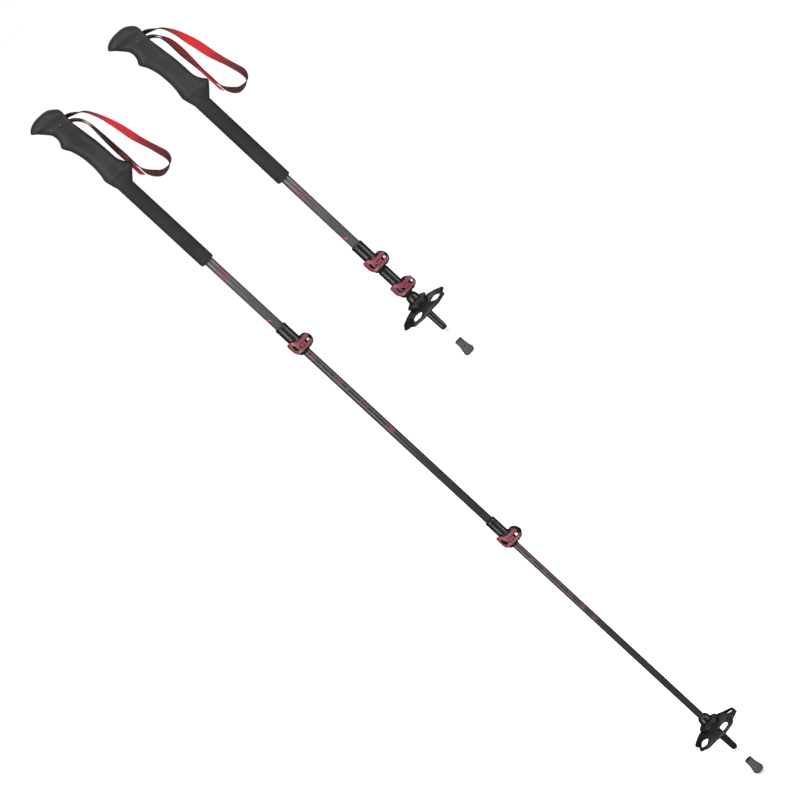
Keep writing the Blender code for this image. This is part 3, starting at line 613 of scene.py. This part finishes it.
def strap_mesh(pole):
    """The webbing as one thin twisted ribbon, and its length in metres."""
    route = strap_route(pole)
    points = [Vector((row[0], row[2], -row[1])) for row in route]
    bm = bmesh.new()
    facts = []
    rings = []
    along = 0.0
    for i, point in enumerate(points):
        ahead = (points[min(i + 1, len(points) - 1)] - points[max(i - 1, 0)]).normalized()
        if i:
            along += (point - points[i - 1]).length
        level = ahead.cross(Vector((0, 1, 0))).normalized()
        lean = max(-1.0, min(1.0, route[i][3] / STRAP_WIDTH))
        side = level * lean + Vector((0, 1, 0)) * math.sqrt(1 - lean ** 2)
        side = (side - ahead * side.dot(ahead)).normalized() * STRAP_WIDTH / 2
        face = ahead.cross(side).normalized() * STRAP_THICK / 2
        ring = []
        for a, b in STRAP_SECTION:
            start_cut = ahead * max(0.0, 4.0 - along) * (a * 0.5 + 0.5) * (1 if i < 8 else 0)
            ring.append(bm.verts.new(point + a * side + b * face + start_cut))
            facts.append((along * MM, (a + 1) / 2, max(0.0, min(1.0, route[i][4]))))
        rings.append(ring)
    bridged(bm, rings, closed=False)
    bm.faces.new(rings[0])
    bm.faces.new(rings[-1])
    mesh = finished(bm)
    for index, name in enumerate(("along", "across", "red")):
        layer = mesh.attributes.new(name, "FLOAT", "POINT")
        for vert, fact in enumerate(facts):
            layer.data[vert].value = fact[index]
    return mesh, along * MM


# ---------------------------------------------------------------- the cam-lever locks

def lock_sizes(tube_r, clamp_r):
    arm_out = clamp_r + 3.2
    return {"bore": tube_r + GAP + 0.1, "lip": tube_r - 0.6, "top_r": tube_r + 2.2, "clamp_r": clamp_r,
            "arm_in": clamp_r + 0.35, "arm_out": arm_out, "pivot": (15.0, 4.7 - arm_out),
            "lug_front": 9.8 - arm_out}


LOCKS = {"upper": lock_sizes(UPPER_R, 10.7), "lower": lock_sizes(MIDDLE_R, 10.4)}
FORK_R, LUG_BACK, BARREL_R, SCREW_R = 4.7, 6.0, 2.4, 1.1


def collar_mesh(lock):
    """A collar with a bead at its top, a split clamp at its foot and two lugs for the screw."""
    top, foot = LOCK_DROP, LOCK_DROP - COLLAR_LENGTH
    clamp, lip, wide = lock["clamp_r"], lock["lip"], lock["top_r"]
    outside = [(lock["bore"], top), (wide - 0.9, top), (wide, top - 2.2), (wide, top - 3.6),
               (wide - 0.25, top - 4.2), (wide - 0.25, 10.2), (clamp, 8.2), (clamp, foot + 4.5),
               (clamp - 1.6, foot + 1.6), (clamp - 3.2, foot), (lip, foot)]
    body = turned(filleted(outside, 0.7) + [(lip, foot + 2.0), (lock["bore"], foot + 2.0)])
    lug_outline = [(clamp - 2.4, 8.4), (13.0, 8.9), (17.0, 6.3), (19.9, 1.6), (20.8, -3.0),
                   (19.8, -6.8), (17.2, -9.6), (13.0, -11.2), (clamp - 2.4, foot + 0.4)]
    lug = extruded(filleted(lug_outline, 3.0, 4, closed=True), lock["lug_front"], LUG_BACK, "Y", 0.8)
    slit = block((0, 30), (-0.7, 0.7), (foot - 5, 13))
    screw_hole = moved(rod(SCREW_R + GAP + 0.05, -20, 20), (lock["pivot"][0], 0, 0), ALONG_Y)
    return cut(combined(body, lug, "UNION"), slit, screw_hole)


def lever_mesh(lock):
    """The lever about the collar's centre: rails, a sunk channel with a rib, and an open fork."""
    pivot_x, pivot_y = lock["pivot"]
    arc_out = [math.radians(a) for a in range(270, 175, -5)]
    plan = [(lock["arm_out"] * math.cos(a), lock["arm_out"] * math.sin(a)) for a in arc_out]
    plan += [(lock["arm_in"] * math.cos(a), lock["arm_in"] * math.sin(a)) for a in reversed(arc_out)]
    plan.append((4.0, -lock["arm_in"]))
    plan += [(pivot_x + FORK_R * math.cos(math.radians(a)), pivot_y + FORK_R * math.sin(math.radians(a)))
             for a in range(185, -91, -11)]
    body = extruded(plan, -11, 17)
    front = [(-25, 9.0), (-14.2, 9.6), (-12.6, 11.8), (-10.6, 13.2), (-8.2, 13.9), (-5.8, 13.8),
             (-4.0, 13.0), (-1.0, 10.2), (0.8, 8.3), (2.8, 7.4), (16.4, 7.6), (18.6, 5.8), (20.6, 2.6),
             (20.6, -2.6), (18.7, -5.4), (16.4, -7.0), (11.0, -7.5), (5.0, -7.0), (-3.5, -6.9),
             (-8.8, -7.3), (-12.2, -4.8), (-13.6, 0.0), (-25, 2.0)]
    body = combined(body, extruded(filleted(front, 2.0, 4, closed=True), -25, 10, axis="Y"), "INTERSECT")
    window = extruded([(-8.2, 7.6), (-8.8, 0.8), (-6.9, -2.4), (1.0, -1.9), (1.2, 0.0),
                       (-3.4, 3.4), (-5.6, 7.6)], -25, -2, axis="Y")
    slot = block((pivot_x - 4.9, 30), (-25, 10), (-2.8, 2.8))
    barrel_hole = moved(rod(BARREL_R + 0.35, -20, 20), (pivot_x, pivot_y, 0))
    face = -lock["arm_out"]
    channels = [block((1.4, pivot_x - 6.0), (face - 5, face + 2.0), (1.9, 3.6)),
                block((0.8, pivot_x - 6.0), (face - 5, face + 2.0), (-3.5, -1.7))]
    return moulded(cut(body, window, slot, barrel_hole, *channels), 0.28, 9, 0.45)


def lock_pieces(level, pole, section_body, turn):
    """The collar and the lever of one lock."""
    centre = (AXIS_X[pole], 0, top_of(f"{level}_collar_{pole}") - LOCK_DROP * MM)
    piece(f"{level}_collar_shell_{pole}", COLLARS[level], centre, section_body, "collar",
          [f"{level}_collar_{pole}"], turn=turn)
    piece(f"{level}_lever_arm_{pole}", LEVERS[level], centre, f"{level}_cam_{pole}", "lever",
          [f"{level}_lever_{pole}"], turn=turn, sharp=75)


# ---------------------------------------------------------------- ferrule, basket and cap

def ferrule_mesh():
    """The ferrule: a glossy bell, a core that the basket sits on and a long nose."""
    socket = LOWER_R + GAP + 0.1
    outside = [(socket, 0), (socket + 0.6, 0), (7.3, -1.4), (8.4, -3.4), (9.0, -6.0), (9.3, -9.0),
               (9.3, -11.0), (6.5, -11.0), (6.5, -22.6), (5.6, -24.0), (5.5, -32.0), (5.2, -50.0),
               (5.0, -58.0), (4.9, -66.0), (4.0, -FERRULE_END), (2.4, -FERRULE_END)]
    return turned([(0, -LOWER_TUBE_DOWN - GAP), (socket, -LOWER_TUBE_DOWN - GAP)]
                  + filleted(outside, 0.8) + [(2.4, -60.0), (0, -60.0)], 80)


def point_mesh():
    """The carbide point: a stem in the ferrule and a cone with a hollow, toothed end."""
    top = -FERRULE_END - GAP
    rim = -POINT_DROP

    def teeth(radius, z, angle):
        return radius, z + (0.25 * math.cos(8 * angle) if z < rim + 0.3 and radius > 1 else 0)
    outside = [(2.0, -60.5), (2.0, top), (3.3, top), (3.1, top - 1.2), (2.0, rim + 1.0), (1.7, rim + 0.25)]
    return turned([(0, -60.5)] + filleted(outside, 0.2) + [(0.9, rim + 0.7), (0, rim + 1.0)], 64, teeth)


def rim(direction):
    """The basket's outer radius: straight ends on five lobes with shallow notches between."""
    pitch = math.tau / LOBES
    off = abs((direction + pitch / 2) % pitch - pitch / 2)
    corner = math.radians(14)
    if off <= corner:
        return RIM_R * math.cos(corner) / math.cos(off)
    share = (off - corner) / (pitch / 2 - corner)
    return RIM_R + (NOTCH_R - RIM_R) * share ** 0.8


def basket_outline(radius, z, direction):
    if radius <= WEB_R:
        return radius, z
    return WEB_R + (radius - WEB_R) * (rim(direction) - WEB_R) / (RIM_R - WEB_R), z


def basket_mesh():
    """The basket: a stepped hub with an undercut, and a drooping plate with a hole in each lobe."""
    plate = turned(
        [(6.9, 0.0), (12.4, 0.0), (13.0, -0.5), (13.2, -1.5), (15.0, -1.8), (16.4, -2.4), (16.8, -3.4),
         (16.6, -4.8), (13.8, -5.4), (13.6, -7.8), (16.4, -8.2), (20.0, -9.3), (25.0, -10.6),
         (30.0, -11.9), (35.0, -14.2), (37.8, -15.4), (39.4, -16.3), (40.7, -17.6), (RIM_R, -19.0),
         (40.6, -20.4), (38.6, -20.6), (35.0, -16.6), (30.0, -14.0), (25.0, -12.6), (20.0, -12.0),
         (16.0, -11.0), (6.9, -11.0)], 240, basket_outline)
    hole = filleted([(25.6, -4.8), (27.6, -8.5), (33.6, -8.3), (36.6, -4.6), (36.6, 4.6), (33.6, 8.3),
                     (27.6, 8.5), (25.6, 4.8)], 2.4, 4, closed=True)
    cutters = []
    for lobe in range(LOBES):
        turn = Matrix.Rotation(math.tau * lobe / LOBES, 4, "Z")
        half_turn = Matrix.Rotation(math.tau * (lobe + 0.5) / LOBES, 4, "Z")
        cutters.append(moved(extruded(hole, -30, 0), turn=turn))
        peg = moved(rod(1.5, -30, 4, 20), (18.9, 0, 0))
        cutters.append(moved(peg, turn=half_turn))
    return moulded(cut(plate, *cutters), 0.42, 3, 0.4)


def cap_mesh():
    """The rubber cap: a ringed neck, a dimple in front, a wide foot and a grooved sole."""
    outside = [(5.3, -1.0), (5.3, 0), (5.8, 0), (5.9, -1.6), (5.8, -2.2), (5.9, -8.0), (6.4, -13.0),
               (7.6, -17.2), (7.0, -17.8), (7.1, -18.5), (8.2, -19.3), (8.4, -21.3), (7.5, -23.9),
               (6.2, -CAP_LENGTH)]
    body = turned([(0, -CAP_BORE_DEPTH), (5.3, -CAP_BORE_DEPTH)] + filleted(outside, 0.6)
                  + [(0, -CAP_LENGTH)], 80)
    cutters = [moved(rod(0.9, -3, 3, 20), (0, -7.6, -11.0), ALONG_Y)]
    for angle in range(0, 180, 45):
        groove = block((-12, 12), (-0.45, 0.45), (-CAP_LENGTH - 1, -CAP_LENGTH + 0.8))
        cutters.append(moved(groove, turn=Matrix.Rotation(math.radians(angle), 4, "Z")))
    return cut(body, *cutters)


# ---------------------------------------------------------------- tubes and their scales

def tube_mesh(radius, bottom, top):
    """A tube with slightly rounded ends; bottom and top are heights in mm."""
    inner = radius - WALL
    return turned([(inner + 0.15, top), (radius - 0.15, top), (radius, top - 0.15),
                   (radius, bottom + 0.15), (radius - 0.15, bottom), (inner + 0.15, bottom),
                   (inner, bottom + 0.15), (inner, top - 0.15)])


FILM_IN, FILM_OUT = 0.05, 0.04      # how far a printed film reaches into and out of its tube, in mm


def printed_patch(bm, radius, low, high, start, end):
    """A thin closed film on a tube between two heights and two directions in degrees."""
    inner, outer = radius - FILM_IN, radius + FILM_OUT
    steps = max(2, round((end - start) / 6))
    rings = []
    for i in range(steps + 1):
        angle = math.radians(start + (end - start) * i / steps)
        ring = []
        for r, z in ((inner, low), (outer, low), (outer, high), (inner, high)):
            ring.append(bm.verts.new((r * math.cos(angle), r * math.sin(angle), z)))
        rings.append(ring)
    bridged(bm, rings, closed=False)
    bm.faces.new(rings[0])
    bm.faces.new(rings[-1])


# Strokes of plain numerals in a 2 by 4 box: along the tube, then round it.
STROKES = {"top": (0, 2, 3.4, 4), "left_top": (0, 0.6, 2, 4), "right_top": (1.4, 2, 2, 4),
           "bar": (0, 2, 1.7, 2.3), "left_low": (0, 0.6, 0, 2), "right_low": (1.4, 2, 0, 2),
           "foot": (0, 2, 0, 0.6), "stem": (0.7, 1.3, 0, 4)}
NUMERALS = {"0": ("top", "left_top", "right_top", "left_low", "right_low", "foot"), "1": ("stem",),
            "2": ("top", "right_top", "bar", "left_low", "foot"),
            "3": ("top", "right_top", "bar", "right_low", "foot"),
            "5": ("top", "left_top", "bar", "right_low", "foot")}


def numeral_patches(bm, radius, drop, length, height, facing, text):
    """A number that reads down the tube, in a box of the given length and height in mm."""
    pitch = length / (len(text) - 0.25)
    unit_along, unit_round = pitch * 0.75 / 2, height / 4
    for place, character in enumerate(text):
        for stroke in NUMERALS[character]:
            a0, a1, b0, b1 = STROKES[stroke]
            first = drop + place * pitch + a0 * unit_along
            last = drop + place * pitch + a1 * unit_along
            turns = [facing + math.degrees((b - 2) * unit_round / radius) for b in (b0, b1)]
            printed_patch(bm, radius, -last, -first, *turns)


# ---------------------------------------------------------------- the poles

COLLARS = {level: collar_mesh(lock) for level, lock in LOCKS.items()}
LEVERS = {level: lever_mesh(lock) for level, lock in LOCKS.items()}
GRIP, SLEEVE, FERRULE, POINT = grip_mesh(), sleeve_mesh(), ferrule_mesh(), point_mesh()
BASKET, CAP = basket_mesh(), cap_mesh()

# Printed marks, in mm.  Each drop is one on the drawn-out pole; each number has a length and a height.
MIDDLE_MARKS = [("130", 493.5, 15.0, 7.4), ("120", 544.5, 15.0, 7.4), ("110", 594.5, 14.5, 7.4),
                ("100", 645.0, 15.0, 7.4)]
MIDDLE_TICKS = [520.5, 570.0, 620.0]
LOWER_MARKS = [("130", 903.5), ("125", 928.5), ("120", 953.5), ("115", 978.5), ("110", 1003.5),
               ("105", 1028.5), ("100", 1053.5)]
FRONT = -90.0
LOWER_MARK_RISE, LOWER_MARK_LENGTH, LOWER_MARK_HEIGHT = 0.6, 8.8, 6.2
TICK_LENGTH, TICK_HALF = 1.4, 28
# The upper tube's band and the row of blocks above it; halves and directions are in degrees.
BAND, BAND_HALF = (333.5, 342.8), 84
DASHES, DASH_REACH = [(-62, -30), (-18, 14), (26, 58)], (4.0, 11.0)
# The slanted bar is a row of short steps: its first drops and direction, and the shift of each step.
SLASH_DROPS, SLASH_START, SLASH_STEPS = (420.5, 423.3), -62, 12
SLASH_FALL, SLASH_TURN, SLASH_WIDTH = 0.38, 4.2, 4.4


def scale_mesh(section, radius):
    """The printed scale of one section; heights are measured from the top of a drawn-out pole."""
    bm = bmesh.new()
    if section == "middle":
        for text, drop, length, height in MIDDLE_MARKS:
            numeral_patches(bm, radius, drop, length, height, FRONT, text)
        for drop in MIDDLE_TICKS:
            printed_patch(bm, radius, -drop - TICK_LENGTH, -drop, FRONT - TICK_HALF, FRONT + TICK_HALF)
    elif section == "lower":
        for text, drop in LOWER_MARKS:
            numeral_patches(bm, radius, drop - LOWER_MARK_RISE, LOWER_MARK_LENGTH, LOWER_MARK_HEIGHT,
                            FRONT, text)
    else:
        printed_patch(bm, radius, -BAND[1], -BAND[0], FRONT - BAND_HALF, FRONT + BAND_HALF)
        low, high = -BAND[0] + DASH_REACH[0], -BAND[0] + DASH_REACH[1]
        for start, end in DASHES:
            printed_patch(bm, radius, low, high, FRONT + start, FRONT + end)
    return finished(bm)


def slash_mesh():
    """A plain slanted bar printed near the foot of the upper tube."""
    bm = bmesh.new()
    for step in range(SLASH_STEPS):
        start = FRONT + SLASH_START + SLASH_TURN * step
        high, low = (-drop - SLASH_FALL * step for drop in SLASH_DROPS)
        printed_patch(bm, UPPER_R, low, high, start, start + SLASH_WIDTH)
    return finished(bm)


def tube_piece(section, pole, radius, body, shift):
    """A tube between its CAD node's ends, and the scale printed on it."""
    node = f"{section}_tube_{pole}"
    low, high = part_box(node)
    length = (high.z - low.z) / MM
    piece(f"{section}_shaft_{pole}", tube_mesh(radius, 0, length), (AXIS_X[pole], 0, low.z), body,
          "upper_shaft" if section == "upper" else "shaft", [node], sharp=50)
    piece(f"{section}_scale_{pole}", scale_mesh(section, radius),
          (AXIS_X[pole], 0, top_of(f"grip_{pole}") + shift), body,
          "dim_print" if section == "upper" else "print")


def refinish(node, look, edge=0.25):
    """Give a carried-over CAD node a procedural finish and slightly rounded edges."""
    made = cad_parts[node]
    for index in range(len(made.material_slots)):
        made.material_slots[index].material = MATERIALS[look]
    bevel = made.modifiers.new("edge", "BEVEL")
    bevel.width, bevel.segments, bevel.limit_method = edge * MM, 2, "ANGLE"
    bevel.angle_limit = math.radians(40)


def build_pole(pole):
    x, top = AXIS_X[pole], top_of(f"grip_{pole}")
    upper, middle, lower = f"pole_{pole}", f"middle_section_{pole}", f"lower_section_{pole}"
    piece(f"grip_body_{pole}", GRIP, (x, 0, top), upper, "grip", [f"grip_{pole}"], sharp=50)
    piece(f"sleeve_{pole}", SLEEVE, (x, 0, top), upper, "foam", [f"foam_sleeve_{pole}"], sharp=60)
    mesh, length = strap_mesh(pole)
    strap = piece(f"strap_ribbon_{pole}", mesh, (x, 0, top), f"strap_loop_{pole}", "webbing",
                  [f"strap_{pole}"], sharp=80)

    pushed_middle = top_of(f"lower_collar_{pole}") - (top - DRAWN_LOWER_COLLAR * MM)
    pushed_lower = top_of(f"ferrule_{pole}") - (top - DRAWN_FERRULE * MM)
    tube_piece("upper", pole, UPPER_R, upper, 0.0)
    tube_piece("middle", pole, MIDDLE_R, middle, pushed_middle)
    tube_piece("lower", pole, LOWER_R, lower, pushed_lower)
    piece(f"upper_slash_{pole}", slash_mesh(), (x, 0, top), upper, "bright_print")
    lock_pieces("upper", pole, upper, UPPER_TURN[pole])
    lock_pieces("lower", pole, middle, SECTION_TURN[pole])

    foot = (x, 0, top_of(f"ferrule_{pole}"))
    piece(f"ferrule_shell_{pole}", FERRULE, foot, lower, "collar", [f"ferrule_{pole}"])
    piece(f"point_tip_{pole}", POINT, foot, lower, "carbide", [f"carbide_point_{pole}"])
    piece(f"basket_plate_{pole}", BASKET, (x, 0, top_of(f"basket_{pole}")), f"snow_basket_{pole}",
          "basket", [f"basket_{pole}"], turn=BASKET_TURN[pole], sharp=75)
    piece(f"cap_body_{pole}", CAP, (x, 0, top_of(f"cap_{pole}")), f"end_cap_{pole}", "cap_rubber",
          [f"cap_{pole}"])

    refinish(f"strap_pin_{pole}", "dark_steel")
    refinish(f"cap_washer_{pole}", "steel")
    for level in LOCKS:
        refinish(f"{level}_pivot_{pole}", "dark_steel")
        refinish(f"{level}_screw_{pole}", "steel")
        refinish(f"{level}_nut_{pole}", "steel")
    for node in ("strap_wedge", "middle_guide", "lower_guide"):
        refinish(f"{node}_{pole}", "bush")


for each in POLES:
    build_pole(each)


# ---------------------------------------------------------------- floor, light and camera

def floor_look():
    look = Look("floor_paint", roughness=0.9)
    look.colour(look.mix(look.noise(3.0, 3.0), (0.93, 0.93, 0.93), (0.96, 0.96, 0.96)))
    look.bump((look.noise(300.0, 2.0), 0.05))
    return look.material


def add_floor():
    bm = bmesh.new()
    bmesh.ops.create_grid(bm, x_segments=4, y_segments=4, size=30.0)
    mesh = bpy.data.meshes.new("floor")
    bm.to_mesh(mesh)
    bm.free()
    mesh.materials.append(floor_look())
    floor = bpy.data.objects.new("floor", mesh)
    bpy.context.scene.collection.objects.link(floor)
    floor.location = (0, 0, CAD_BOX[0].z - 0.004)
    floor.visible_glossy = False


def add_light(name, direction, elevation, distance, size, power):
    """A soft box that faces the middle of the poles; direction 0 is the camera's side."""
    data = bpy.data.lights.new(name, "AREA")
    data.shape, data.size, data.size_y, data.energy = "RECTANGLE", size[0], size[1], power
    light = bpy.data.objects.new(name, data)
    bpy.context.scene.collection.objects.link(light)
    a, e = math.radians(direction), math.radians(elevation)
    away = Vector((math.sin(a) * math.cos(e), -math.cos(a) * math.cos(e), math.sin(e)))
    light.location = Vector((0.05, 0, -0.5)) + away * distance
    light.rotation_euler = away.to_track_quat("Z", "Y").to_euler()


def add_world():
    world = bpy.data.worlds.new("studio")
    bpy.context.scene.world = world
    world.use_nodes = True
    world.node_tree.nodes["Background"].inputs["Color"].default_value = (1, 1, 1, 1)
    world.node_tree.nodes["Background"].inputs["Strength"].default_value = 1.13
    world.cycles_visibility.glossy = False


CAMERA_PLACE = (0.0386, -6.0, 0.8235)
CAMERA_PITCH, CAMERA_ROLL, CAMERA_LENS = 12.781, -47.2, 198.92


def add_camera():
    """The camera, tilted down and rolled so that the poles lie across the picture."""
    pitch, roll = math.radians(CAMERA_PITCH), math.radians(CAMERA_ROLL)
    ahead = Vector((0, math.cos(pitch), -math.sin(pitch)))
    level = Vector((1, 0, 0))
    up = level.cross(ahead)
    right = level * math.cos(roll) + up * math.sin(roll)
    above = up * math.cos(roll) - level * math.sin(roll)
    turn = Matrix((right, above, -ahead)).transposed().to_4x4()
    data = bpy.data.cameras.new("camera")
    data.lens, data.sensor_width, data.clip_end = CAMERA_LENS, 36.0, 200.0
    camera = bpy.data.objects.new("camera", data)
    bpy.context.scene.collection.objects.link(camera)
    camera.matrix_world = Matrix.Translation(CAMERA_PLACE) @ turn
    bpy.context.scene.camera = camera


add_floor()
add_world()
add_light("soft_left", -44, 4, 3.6, (1.9, 3.4), 130)
add_light("soft_right", 56, 4, 3.6, (1.5, 3.4), 90)
add_light("high_left", -38, 56, 3.4, (0.9, 0.9), 34)
add_light("high_right", 38, 56, 3.4, (0.9, 0.9), 34)
add_light("soft_back", 165, 35, 3.6, (2.4, 1.6), 14)
add_camera()
bpy.context.scene.view_settings.view_transform = "Standard"
